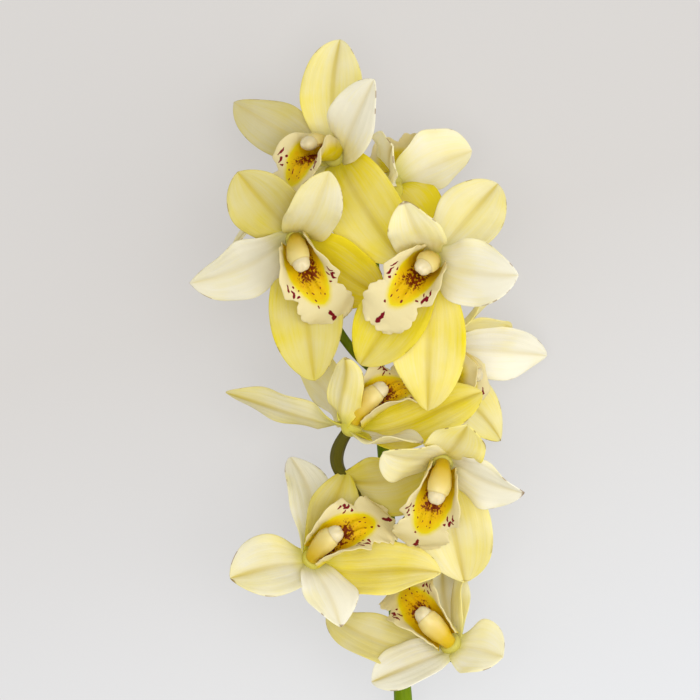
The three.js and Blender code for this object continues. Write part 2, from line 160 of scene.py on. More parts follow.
def tube(line, radius):
    """A round skin along a line: each ring lies across the line, with radius[row, side] for its points.
    The rings are kept from turning by one fixed direction, the axis that the line follows least."""
    along = unit(np.gradient(line, axis=0))
    fixed = np.eye(3)[np.abs(along).max(0).argmin()]
    side = unit(fixed - (along @ fixed)[:, None] * along)
    other = np.cross(along, side)
    angle = once_round(radius.shape[1])[..., None]
    ring = np.cos(angle) * side[:, None] + np.sin(angle) * other[:, None]
    return line[:, None] + radius[..., None] * ring


def closed_skin(grid, sheet):
    """Points and faces of a closed skin over a grid: each row goes once round, and neighbouring rows are
    joined by quads. Where the grid is the two faces of a sheet, its ends are closed by quads from face to
    face, and otherwise by triangles to a point in the middle of the end row."""
    rows, around = grid.shape[:2]
    index = np.arange(rows * around).reshape(rows, around)
    beside = np.roll(index, -1, axis=1)
    quads = np.stack([index[:-1], beside[:-1], beside[1:], index[1:]], -1).reshape(-1, 4)
    if sheet:
        near = np.arange(around // 2 - 1)
        far = around - 1 - near
        first = index[0][np.stack([near + 1, near, far, far - 1], -1)]
        last = index[-1][np.stack([near, near + 1, far - 1, far], -1)]
        return grid.reshape(-1, 3), np.vstack([quads, first, last]), np.zeros((0, 3), int)
    first = np.stack([beside[0], index[0], np.full(around, rows * around)], -1)
    last = np.stack([index[-1], beside[-1], np.full(around, rows * around + 1)], -1)
    points = np.vstack([grid.reshape(-1, 3), grid[0].mean(0), grid[-1].mean(0)])
    return points, quads, np.vstack([first, last])


def with_ends(values, sheet):
    """One value for each point of closed_skin: the grid's own, then those of its two end points if any."""
    flat = values.reshape(-1, *values.shape[2:])
    return flat if sheet else np.concatenate([flat, values[:1].mean(1), values[-1:].mean(1)])


def make_piece(name, skins, material, cad_node):
    """One object from closed skins. A skin is a dict with its grid of points in mm, an optional uv grid,
    and for each attribute that the material reads one number, or a grid of them. sheet says that the grid
    is the two faces of a thin sheet."""
    points, faces, uvs, values = [], [], [], {}
    total = 0
    for skin in skins:
        sheet = skin.get("sheet", False)
        verts, quads, tris = closed_skin(skin["grid"], sheet)
        a, b, c, d = (verts[quads[:, k]] for k in range(4))
        volume = (a * np.cross(b, c)).sum() + (a * np.cross(c, d)).sum()
        if volume < 0:
            quads, tris = quads[:, ::-1], tris[:, ::-1]
        points.append(verts)
        faces += (quads + total).tolist() + (tris + total).tolist()
        uvs.append(with_ends(skin["uv"], sheet) if "uv" in skin else np.zeros((len(verts), 2)))
        for key, value in skin.items():
            if key not in ("grid", "uv", "sheet"):
                grid = np.broadcast_to(value, skin["grid"].shape[:2])
                values.setdefault(key, []).append(with_ends(grid, sheet))
        total += len(verts)
    mesh = bpy.data.meshes.new(name)
    mesh.from_pydata((np.vstack(points) - LAYOUT_CENTRE) * MM, [], faces)
    mesh.polygons.foreach_set("use_smooth", np.ones(len(mesh.polygons), bool))
    corners = np.zeros(len(mesh.loops), np.int32)
    mesh.loops.foreach_get("vertex_index", corners)
    layer = mesh.uv_layers.new(name="UVMap")
    layer.data.foreach_set("uv", np.vstack(uvs)[corners].astype(np.float32).ravel())
    for key, parts in values.items():
        attribute = mesh.attributes.new(key, "FLOAT", "POINT")
        attribute.data.foreach_set("value", np.concatenate(parts).astype(np.float32))
    mesh.materials.append(material)
    mesh.validate()
    piece = bpy.data.objects.new(name, mesh)
    bpy.context.scene.collection.objects.link(piece)
    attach(piece, "root")
    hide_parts(cad_node)
    return piece


def stalk_finish(add, place):
    """Living orchid stalk: smooth waxy green, with paler streaks 1 mm wide along it and deeper patches. Its
    attributes tint it: wine to olive purple-brown, pale to the blooms' yellow, pith to the cut's green."""
    stretched = add("Mapping", {"Vector": place, "Scale": (1, 0.06, 1)})
    streaks = add("TexNoise", {"Vector": stretched, "Scale": 900.0, "Detail": 3.0})
    patches = add("TexNoise", {"Vector": place, "Scale": 45.0, "Detail": 2.0})
    deeper = add("MapRange", [patches, 0.4, 0.75, 0.0, 0.5])
    colour = add("Mix", [streaks, "#5A7400", "#768C00"], data_type="RGBA")
    colour = add("Mix", [deeper, colour, "#4A620A"], data_type="RGBA")
    for name, tint in (("wine", "#4E4014"), ("pale", "#D2C650"), ("pith", "#C9D29A")):
        amount = add("Attribute", out="Fac", attribute_name=name)
        colour = add("Mix", [amount, colour, tint], data_type="RGBA")
    bump = add("Bump", {"Height": streaks, "Strength": 0.25, "Distance": 0.0002})
    return add("BsdfPrincipled", {
        "Base Color": colour, "Roughness": 0.45, "Normal": bump, "Specular IOR Level": 0.08,
        "Subsurface Weight": 0.08, "Subsurface Radius": (0.002, 0.003, 0.0004), "Subsurface Scale": 0.5,
    })


stalk_line = smooth_line(STALK_LINE, STALK_ROWS)
share = np.linspace(0, 1, STALK_ROWS)[:, None]
angle = once_round(STALK_SIDES)
ribs = np.cos(STALK_RIBS * angle + STALK_TWIST * share) * window(share, 0.02, 0.98, 0.03)
ribbed = 1 + RIB_DEPTH * ribs
stalk_grid = tube(stalk_line, through(STALK_RADIUS, share) * ribbed)
cut_rim = stalk_grid[:1]
cut_middle = cut_rim.mean(1, keepdims=True)
cut_face = np.concatenate([cut_middle + (cut_rim - cut_middle) * size for size in CUT_RINGS])
stalk_grid = np.concatenate([cut_face, stalk_grid])
on_cut = np.arange(len(stalk_grid))[:, None] < len(CUT_RINGS)
stalk_material = make_material("fresh waxy green stalk", stalk_finish)
stalk = {"grid": stalk_grid, "pith": on_cut, "wine": 0, "pale": 0}
make_piece("flower_stalk", [stalk], stalk_material, "stem")


# ------------------------ sheathing bracts
# Two papery bracts clasp the lower stalk. Each grew from a ring round it and wraps it like a sleeve, with
# its upper edge running up to a blunt tip.

BRACTS = [(0.12, 60), (0.27, 215)]  # start as a share of the stalk, way of the tip round it in degrees
BRACT_LENGTH = 44
BRACT_SHORT_SIDE = 0.45  # length of the side away from the tip, as a share of the tip's
BRACT_FOOT_OFF = 0.15  # how far it stands off the stalk at its foot, and at its upper edge
BRACT_EDGE_OFF = 0.95
BRACT_WALL = 0.45
BRACT_LINING = 0.3  # how far down its inner face goes, as a share of the height
BRACT_VEINS = 30
BRACT_VEIN_HEIGHT = 0.03
BRACT_ROWS = 60


def bract_grid(start, towards):
    """A sleeve round the stalk: out from its foot to its slanted upper edge, and back down inside."""
    length = distances(stalk_line)[-1]
    rows_inside = BRACT_ROWS // 3
    up = np.concatenate([np.linspace(0, 1, BRACT_ROWS), np.linspace(1, BRACT_LINING, rows_inside)])[:, None]
    inside = np.concatenate([np.zeros(BRACT_ROWS), np.ones(rows_inside)])[:, None]
    near = 0.5 + 0.5 * np.cos(angle - np.radians(towards))
    way = start + BRACT_LENGTH * (BRACT_SHORT_SIDE + (1 - BRACT_SHORT_SIDE) * near**2) * up / length
    at = way * (STALK_ROWS - 1)
    low = np.clip(at.astype(int), 0, STALK_ROWS - 2)
    part = (at - low)[..., None]
    place = stalk_line[low] * (1 - part) + stalk_line[low + 1] * part
    along = unit(np.gradient(stalk_line, axis=0))[low]
    side = unit(np.array([0, 0, 1.0]) - along[..., 2:] * along)
    other = np.cross(along, side)
    stands = BRACT_FOOT_OFF + (BRACT_EDGE_OFF - BRACT_FOOT_OFF) * up**0.8 - BRACT_WALL * inside
    veins = BRACT_VEIN_HEIGHT * np.cos(BRACT_VEINS * angle)
    radius = (through(STALK_RADIUS, way) + stands + veins)[..., None]
    out = np.cos(angle)[..., None] * side + np.sin(angle)[..., None] * other
    return place + radius * out


def bract_finish(add, place):
    """Dry papery bract: pale straw green, with veins 0.7 mm apart along it, browned at the upper edge."""
    stretched = add("Mapping", {"Vector": place, "Scale": (1, 0.03, 1)})
    veins = add("TexNoise", {"Vector": stretched, "Scale": 1400.0, "Detail": 2.0})
    edge = add("Attribute", out="Fac", attribute_name="edge")
    body = add("Mix", [veins, "#8C9A4A", "#B9BC77"], data_type="RGBA")
    browned = add("Mix", [edge, body, "#A8874E"], data_type="RGBA")
    bump = add("Bump", {"Height": veins, "Strength": 0.5, "Distance": 0.0003})
    return add("BsdfPrincipled", {"Base Color": browned, "Roughness": 0.6, "Normal": bump})


bract_material = make_material("papery straw-green bract", bract_finish)
for number, (start, towards) in enumerate(BRACTS, 1):
    grid = bract_grid(start, towards)
    bract = {"grid": grid, "edge": window(np.arange(len(grid))[:, None] / BRACT_ROWS, 0.9, np.inf, 0.25)}
    make_piece(f"sheathing_bract_{number}", [bract], bract_material, "stem")


# ------------------------ where the blooms sit
# Nine blooms stand round the upper half of the stalk, each turned its own way. heart is the point where a
# bloom's parts meet, faces is where it looks and lip the way its lip hangs. leaves is the y at which its
# stalk leaves the main one, out the way it sets off, bend how far behind the bloom it bends, wine how
# purple it is and pale how yellow at its end. What the table doesn't say of a bloom is as usual.

USUAL_BLOOM = dict(bend=0.3, pale=0.25, lip_size=1)
# Its tepals are the dorsal sepal, left and right petal, left and right sepal. tip is the place of the tip
# from the heart and wide the greatest width. lift and hook are how far forward of the straight way to its
# tip a tepal sets off and ends, in degrees, so below 0 it bends back. roll turns it about its length, fold
# is how steeply its halves rise, sweep how far it bows sideways, and sharp how pointed its tip is. The
# yellowness runs from 0 for cream: it is partly the tepal's own tone and partly painted shade, set higher
# on blades that lie in shade. The greyness is painted shade that dims a blade lying in shade.
USUAL_TEPAL = dict(lift=12, hook=-14, roll=0, fold=0.16, sweep=0, sharp=0.1, painted_shade_grey=0)
BLOOMS = [
    dict(name="bloom_1", heart=[35.2, 23.7, 56], faces=[-0.55, 0.6, 0.58], lip=[-0.3, 0.35, -0.88],
         leaves=24, out=[0.9, -0.3, 0.1], wine=0.2, tepals=[
        dict(tip=[-34.5, -15.5, 5], wide=26, roll=-10, sweep=-0.3, gold_with_painted_shade=0.0),
        dict(tip=[-53.5, 13, -16], wide=23, lift=-12, sweep=-0.5, sharp=0.5, gold_with_painted_shade=0.5, painted_shade_grey=0.3),
        dict(tip=[21.1, -3.5, 18], wide=27, gold_with_painted_shade=0.2),
        dict(tip=[-3, 31.5, -34], wide=24, roll=20, sharp=0.5, gold_with_painted_shade=0.2),
        dict(tip=[2.2, 29.5, -27.5], wide=24, roll=-20, gold_with_painted_shade=0.3),
    ]),
    dict(name="bloom_2", heart=[-25, 60.2, 58], faces=[0.38, 0.55, 0.74], lip=[0.7, 0.12, -0.65],
         leaves=58, out=[-0.9, -0.2, 0.1], wine=0.3, tepals=[
        dict(tip=[-34, -6, 26], wide=30, gold_with_painted_shade=0.2, painted_shade_grey=0.15),
        dict(tip=[-9.6, 43.4, -30], wide=22, roll=-5, sweep=0.3, gold_with_painted_shade=0.0),
        dict(tip=[12.5, -26.7, 22], wide=26, sharp=0.5, gold_with_painted_shade=0.0),
        dict(tip=[15, 38, -7], wide=22, gold_with_painted_shade=0.75, painted_shade_grey=0.45),
        dict(tip=[55.2, -4.8, 9], wide=27, lift=-31, roll=10, sharp=0.5, gold_with_painted_shade=0.7),
    ]),
    dict(name="bloom_3", heart=[30.8, 103.2, 67], faces=[-0.1, -0.6, 0.79], lip=[-0.3, -0.95, -0.1],
         leaves=70, out=[0.8, 0.5, 0.2], wine=0.2, tepals=[
        dict(tip=[9.5, 16, 36], wide=26, gold_with_painted_shade=0.55),
        dict(tip=[-25.4, 4.3, 27], wide=26, gold_with_painted_shade=0.3),
        dict(tip=[34, -13, 18], wide=26, sharp=1, gold_with_painted_shade=0.0),
        dict(tip=[-45, -8, -22], wide=33, lift=0, sweep=-0.4, sharp=0.3, gold_with_painted_shade=0.7, painted_shade_grey=0.35),
        dict(tip=[10, -53, -18], wide=36, fold=0.26, lift=1, sharp=0.6, gold_with_painted_shade=0.5),
    ]),
    dict(name="bloom_4", heart=[-8, 118, 64], faces=[0.5, 0.74, 0.45], lip=[0.63, 0.04, -0.77],
         leaves=72, out=[-0.4, 0.85, 0.3], bend=0.5, wine=0.85, pale=0.0, tepals=[
        dict(tip=[-2.5, 29.4, 20], wide=18, roll=50, lift=-24, sharp=0.4, gold_with_painted_shade=0.5),
        dict(tip=[-24, 26, -38], wide=32, roll=65, gold_with_painted_shade=0.35),
        dict(tip=[30, -6.7, 18], wide=20, lift=-40, gold_with_painted_shade=0.2),
        dict(tip=[-54.3, 14.3, -22], wide=18, roll=65, lift=-8, hook=0, sharp=0.5, gold_with_painted_shade=0.4, painted_shade_grey=0.25),
        dict(tip=[56.2, 14.3, -9], wide=26, sweep=0.25, roll=18, lift=-28, sharp=0.4, gold_with_painted_shade=0.85),
    ]),
    dict(name="bloom_5", heart=[28.6, 150.5, 36], faces=[0.88, -0.38, 0.28], lip=[-0.4, -0.9, -0.05],
         leaves=128, out=[0.9, 0.4, 0.1], wine=0.3, tepals=[
        dict(tip=[33, 7, -14], wide=32, lift=-5, hook=-10, fold=0.4, sweep=-0.35, gold_with_painted_shade=0.45),
        dict(tip=[22, 26, 20], wide=22, gold_with_painted_shade=0.4),
        dict(tip=[50, -2.5, -27], wide=27, sweep=-0.15, sharp=0.6, gold_with_painted_shade=0.0),
        dict(tip=[29.5, -40, -26], wide=27, lift=-28, sharp=0.6, gold_with_painted_shade=0.55),
        dict(tip=[10, 34, -38], wide=24, gold_with_painted_shade=0.4),
    ]),
    dict(name="bloom_6", heart=[-31.4, 198.4, 64], faces=[0.05, -0.45, 0.89], lip=[0.47, -0.78, -0.42],
         leaves=140, out=[-0.8, 0.5, 0.3], wine=0.3, tepals=[
        dict(tip=[-24.5, 27, 22], wide=30, gold_with_painted_shade=0.6, painted_shade_grey=0.5),
        dict(tip=[-45.2, -19.5, 10], wide=27, sweep=-0.15, sharp=0.8, gold_with_painted_shade=0.0, painted_shade_grey=0.32),
        dict(tip=[14, 27, 30], wide=23, lift=40, hook=-45, sharp=0.4, gold_with_painted_shade=0.35, painted_shade_grey=0.2),
        dict(tip=[7.5, -61, -2], wide=32, lift=-16, gold_with_painted_shade=0.7, painted_shade_grey=0.32),
        dict(tip=[36, -25, -3], wide=33, roll=10, sharp=0.5, gold_with_painted_shade=1.0),
    ]),
    dict(name="bloom_7", heart=[25.8, 188.3, 70], faces=[-0.1, -0.05, 0.99], lip=[-0.65, -0.76, 0],
         leaves=160, out=[0.7, 0.5, 0.5], wine=0.2, tepals=[
        dict(tip=[29, 33.5, -12], wide=29, gold_with_painted_shade=0.4, painted_shade_grey=0.12),
        dict(tip=[-12, 24, 35], wide=24, lift=0, hook=-45, roll=-10, gold_with_painted_shade=0.3),
        dict(tip=[36, -6.5, 26], wide=29, sweep=0.15, sharp=0.4, gold_with_painted_shade=0.0),
        dict(tip=[-30, -44, 1.5], wide=30, gold_with_painted_shade=0.85, painted_shade_grey=0.25),
        dict(tip=[-1.3, -63.6, -2], wide=33, sharp=0.3, gold_with_painted_shade=0.72),
    ]),
    dict(name="bloom_8", heart=[9.5, 222.7, 42], faces=[-0.45, 0.45, -0.77], lip=[0.92, 0.3, -0.25],
         leaves=205, out=[0.8, 0.3, 0.1], wine=0.2, pale=1.0, lip_size=0.8, tepals=[
        dict(tip=[14, -40, -12], wide=22, gold_with_painted_shade=0.3),
        dict(tip=[35, 15, -10], wide=31, gold_with_painted_shade=0.25),
        dict(tip=[15, -17, 17], wide=27, lift=-35, gold_with_painted_shade=1.0),
        dict(tip=[-43, -18, -44.5], wide=24, lift=12, hook=-46, gold_with_painted_shade=0.4),
        dict(tip=[0, 14.6, 30], wide=24, roll=80, gold_with_painted_shade=0.1),
    ]),
    dict(name="bloom_9", heart=[-14.5, 234, 47], faces=[-0.52, 0.35, 0.77], lip=[-0.31, -0.93, 0.2],
         leaves=211, out=[-0.5, 0.8, 0.6], wine=0.2, tepals=[
        dict(tip=[1.6, 51.5, -10], wide=28, lift=25, hook=-20, roll=20, gold_with_painted_shade=0.5),
        dict(tip=[-44.6, 24.4, -12], wide=24, sweep=-0.1, lift=0, sharp=0.6, gold_with_painted_shade=0.4, painted_shade_grey=0.55),
        dict(tip=[16, 30, 43], wide=24, roll=30, sweep=0.3, gold_with_painted_shade=0.05),
        dict(tip=[-46, -39, -20], wide=16, roll=30, gold_with_painted_shade=0.3),
        dict(tip=[28, -46, 29], wide=33, lift=30, gold_with_painted_shade=0.8),
    ]),
]
BLOOMS = [USUAL_BLOOM | bloom for bloom in BLOOMS]


class Axes:
    """A bloom's own directions: right, up (away from the lip) and front, from its heart."""

    def __init__(self, bloom):
        self.heart = np.array(bloom["heart"], float)
        self.front = unit(bloom["faces"])
        lip = np.array(bloom["lip"], float)
        self.up = -unit(lip - self.front * (lip @ self.front))
        self.right = np.cross(self.up, self.front)

    def place(self, x, y, z):
        """Points given along right, up and front, in the layout."""
        x, y, z = (values[..., None] for values in np.broadcast_arrays(x, y, z))
        return self.heart + x * self.right + y * self.up + z * self.front

    def beside(self, line, along, x, rise, further=0):
        """Points at x to the right of a line in the bloom's middle plane, rise off it and further along."""
        y = line[..., 1] + along[..., 2] * rise + along[..., 1] * further
        z = line[..., 2] - along[..., 1] * rise + along[..., 2] * further
        return self.place(x, y, z)


# ------------------------ bloom stalks
# Each bloom hangs on a curved stalk. Its upper part is the ovary: thicker, slightly twisted, with six
# shallow grooves, and it ends in the receptacle.

PEDICEL_RADIUS = [(0, 2.5), (0.06, 2.0), (0.42, 2.1), (0.8, 2.8), (1, 2.5)]
PEDICEL_ROWS = 60
PEDICEL_SIDES = 30
OVARY = (0.5, 0.97, 0.2)  # start, end and softness of its grooved stretch, as shares of the length
OVARY_GROOVES = 6
GROOVE_DEPTH = 0.07
OVARY_TWIST = 2.8  # phase in radians that the grooves gain over its length
SETTING_OFF = 0.45  # reach of its curve from the main stalk, as a share of its span
BEHIND_BLOOM = 4.3  # its end, from the bloom's heart


def bezier(controls, t):
    """Points and directions of the cubic curve with four control points, at the shares t."""
    a, b, c, d = np.array(controls, float)
    t = np.asarray(t)[:, None]
    place = (1 - t) ** 3 * a + 3 * (1 - t) ** 2 * t * b + 3 * (1 - t) * t**2 * c + t**3 * d
    slope = 3 * (1 - t) ** 2 * (b - a) + 6 * (1 - t) * t * (c - b) + 3 * t**2 * (d - c)
    return place, unit(slope)


def pedicel_skin(bloom, axes):
    """A tube from inside the main stalk to just behind the bloom, grooved on its upper half."""
    start = stalk_line[np.abs(stalk_line[:, 1] - bloom["leaves"]).argmin()]
    end = axes.place(0, 0, -BEHIND_BLOOM)
    apart = np.linalg.norm(end - start)
    controls = [
        start,
        start + unit(bloom["out"]) * SETTING_OFF * apart,
        end - axes.front * bloom["bend"] * apart,
        end,
    ]
    line = evenly(bezier(controls, np.linspace(0, 1, 200))[0], PEDICEL_ROWS)
    t = np.linspace(0, 1, PEDICEL_ROWS)[:, None]
    grooves = np.cos(OVARY_GROOVES * once_round(PEDICEL_SIDES) + OVARY_TWIST * t)
    radius = through(PEDICEL_RADIUS, t) * (1 + GROOVE_DEPTH * grooves * window(t, *OVARY))
    wine = bloom["wine"] * window(t, 0.02, np.inf, 0.2)
    pale = bloom["pale"] * window(t, 0.6, np.inf, 0.5)
    return {"grid": tube(line, radius), "wine": wine, "pale": pale, "pith": 0}


for bloom in BLOOMS:
    skin = pedicel_skin(bloom, Axes(bloom))
    make_piece(bloom["name"] + "_stalk", [skin], stalk_material, "stem")


# ------------------------ petals and sepals
# Three sepals and two petals of waxy, slightly translucent tissue about a millimetre thick. Each has a
# shallow groove along its midrib, fine veins, a thin wavy edge and a small point at its tip. They meet
# in a short barrel, the receptacle.

TEPAL_THICKNESS = 1.1
TEPAL_EDGE = 0.3
TEPAL_ROWS = 60
TEPAL_COLUMNS = 32
TEPAL_CROWDING = 0.8  # how much its columns crowd to the edges
TEPAL_ROOT = (2.2, 1.2)  # where it starts, outward and back from the heart
TEPAL_REACH = 0.38  # reach of its curve from both ends, as a share of its length
CLAW_SHARE = 0.42  # width at its root, as a share of the greatest
WIDEST_AT = 0.52
WIDEST_DRIFT = 0.055  # how far along each half that place may drift
CUP = 0.1
GROOVE = 0.4  # depth of the midrib's groove
GROOVE_WIDTH = 1.1
GROOVED = (0.05, 0.97, 0.2)  # start, end and softness of the groove, as shares of the length
RIB_WIDTH = 1.1  # from the midrib to where its colour has faded by two thirds
RIB_SHARE = [0.85, 0.35, 0.35, 0.85, 0.85]  # the three sepals show their midribs more than the two petals
WAVE = 1.4  # height of the edge's waves
WAVE_TURNS = (1.2, 2.4)  # fewest and most waves along an edge
PLEAT = 0.1  # height of the shallow pleats that the veins raise
PLEATS = 7
BACKWARD_CURL = 0.09  # how far the edges bend back near the tip, as a share of the half-width
SURFACE_SOFTNESS = 1.0  # over this height a tip that rests on the surface levels out
ROOT_GOLD = 0.35  # how much yellower it is at its root, and the share of its length where that fades
ROOT_GOLD_FADES = 0.16
EDGE_GOLD = 0.12
HUB_PROFILE = [(-4, 2.6), (-2, 4.4), (1, 4.9), (2.4, 4.6), (3, 3.4)]  # forward of the heart, radius
HUB_ROWS = 14
HUB_SIDES = 36
rng = np.random.default_rng(11)


def tepal_outline(t, sharp):
    """Half-width along a tepal for a greatest half-width of 1: a broad claw that swells as a sine, then an
    end that is round where sharp is 0 and tapers to a point where it is 1."""
    swelling = CLAW_SHARE + (1 - CLAW_SHARE) * np.sin(np.pi / 2 * np.clip(t / WIDEST_AT, 0, 1)) ** 1.1
    beyond = np.clip((t - WIDEST_AT) / (1 - WIDEST_AT), 0, 1)
    power, root = 2.4 - 0.8 * sharp, 0.62 + 0.23 * sharp
    return np.where(t < WIDEST_AT, swelling, np.maximum(0.03, (1 - beyond**power) ** root))


def crowded(count, crowding):
    """Shares from -1 to 1 across a blade, as one row, crowded to both edges as a sine of them is."""
    return (np.sin(np.linspace(-1, 1, count) * np.pi / 2 * crowding) / np.sin(np.pi / 2 * crowding))[None]


def two_faces(middle, half_thickness, flip=1):
    """A closed grid round a thin sheet: its upper face one way across and its lower face back. Both stand
    off the middle surface along its own normals, and flip picks which of them is the upper one."""
    normal = unit(np.cross(np.gradient(middle, axis=1), np.gradient(middle, axis=0))) * flip
    lift = normal * np.broadcast_to(half_thickness, middle.shape[:2])[..., None]
    return np.concatenate([middle + lift, (middle - lift)[:, ::-1]], axis=1), normal


def tepal_skin(axes, tepal, rib_share):
    """A tepal, with t along it and s across: its midrib is a cubic curve from the receptacle to the tip.
    Its two halves slope up from the midrib by the fold and cup further to the edge, where a slow wave runs
    along it. Its yellowness runs from 0 to 1, partly its own tone and partly painted shade, and rib follows
    the midrib's line."""
    tepal = USUAL_TEPAL | tepal
    tip = np.array(tepal["tip"], float)
    end = axes.heart + tip
    outward = unit(tip - axes.front * (tip @ axes.front))
    root = axes.heart + TEPAL_ROOT[0] * outward - TEPAL_ROOT[1] * axes.front
    length = np.linalg.norm(end - root)
    reach = TEPAL_REACH * length
    chord = unit(end - root)
    face = unit(axes.front - chord * (axes.front @ chord))
    side = np.cross(chord, face)

    def leaning(degrees, sideways):
        return unit(chord + np.tan(np.radians(degrees)) * face + sideways * side)

    controls = [
        root,
        root + leaning(tepal["lift"], tepal["sweep"]) * reach,
        end - leaning(tepal["hook"], -tepal["sweep"]) * reach,
        end,
    ]

    # The midrib, in rows that crowd to the tip, and the directions across it and off it.
    t = 1 - (1 - np.linspace(0, 1, TEPAL_ROWS)) ** 1.25
    midrib, along = bezier(controls, t)
    across = unit(side - (along @ side)[:, None] * along)
    turn = (np.radians(tepal["roll"]) * np.minimum(1, 4 * t))[:, None]
    across = across * np.cos(turn) + np.cross(along, across) * np.sin(turn)
    normal = np.cross(across, along)

    # The outline, and how far the blade rises off a flat one.
    s = crowded(TEPAL_COLUMNS, TEPAL_CROWDING)
    t = t[:, None]
    drift = rng.uniform(-WIDEST_DRIFT, WIDEST_DRIFT, 2)
    uneven = np.where(s < 0, drift[0], drift[1]) * np.sin(2 * np.pi * t)
    outline = tepal_outline(np.clip(t + uneven, 0, 1), tepal["sharp"])
    blunt_end = 3.2 * np.sqrt(np.clip(1 - t, 0, 1)) + 0.03
    half = tepal["wide"] / 2 * np.minimum(outline, blunt_end)
    sloping = tepal["fold"] * (np.sqrt(s * s + 0.02) - 0.14)
    rise = sloping + CUP * s * s - BACKWARD_CURL * np.abs(s) ** 3 * t**2
    phase = np.where(s < 0, rng.uniform(0, 2 * np.pi), rng.uniform(0, 2 * np.pi))
    turns = rng.uniform(*WAVE_TURNS)
    wave = WAVE * np.abs(s) ** 3 * np.sin(2 * np.pi * turns * t + phase) * np.sin(np.pi * t) ** 0.5
    groove = GROOVE * np.exp(-((s * half / GROOVE_WIDTH) ** 2)) * window(t, *GROOVED)
    pleats = PLEAT * np.cos(PLEATS * np.pi * s) * np.sin(np.pi * t)
    middle = (
        midrib[:, None]
        + across[:, None] * (half * s / np.hypot(1, tepal["fold"]))[..., None]
        + normal[:, None] * (half * rise + wave + pleats - groove)[..., None]
    )

    # No part of the middle surface is lower than where a tepal rests.
    least = TEPAL_THICKNESS / 2
    above = middle[..., 2] - least
    middle[..., 2] = least + (above + np.sqrt(above**2 + SURFACE_SOFTNESS**2)) / 2
    thick = TEPAL_EDGE + (TEPAL_THICKNESS - TEPAL_EDGE) * np.sqrt(1 - np.abs(s) ** 4) * (1 - 0.5 * t**3)
    grid, _ = two_faces(middle, thick / 2)

    both = np.concatenate([s, s[:, ::-1]], axis=1)
    from_rib = np.abs(both) * tepal["wide"] / 2 / (RIB_WIDTH * (0.6 + 1.4 * t**2))
    rib = np.exp(-(from_rib**1.3)) * (0.45 + 0.55 * t) * rib_share
    # The yellowness is partly the tepal's own tone and partly painted shade; the greyness passed on with it
    # is painted shade.
    yellow = tepal["gold_with_painted_shade"] + ROOT_GOLD * np.exp(-t / ROOT_GOLD_FADES) + EDGE_GOLD * np.abs(both) ** 6
    return {
        "grid": grid, "sheet": True, "uv": np.stack(np.broadcast_arrays(both / 2 + 0.5, t), -1),
        "gold_with_painted_shade": yellow, "rib": rib, "wide": tepal["wide"] * MM, "long": length * MM, "painted_shade_grey": tepal["painted_shade_grey"],
    }


def receptacle_skin(axes):
    """The barrel behind the tepals: a turned form about the bloom's front direction, coloured as the root
    of a yellow tepal."""
    z, radius = np.array(HUB_PROFILE, float).T
    fine = np.linspace(0, 1, HUB_ROWS)
    z = np.interp(fine, np.linspace(0, 1, len(z)), z)[:, None]
    radius = np.interp(fine, np.linspace(0, 1, len(radius)), radius)[:, None]
    round_it = once_round(HUB_SIDES)
    grid = axes.place(radius * np.cos(round_it), radius * np.sin(round_it), z)
    uv = np.broadcast_to((0.25, 0.05), (*grid.shape[:2], 2))
    return {"grid": grid, "uv": uv, "gold_with_painted_shade": 0.8, "rib": 0, "wide": 20 * MM, "long": 40 * MM, "painted_shade_grey": 0}


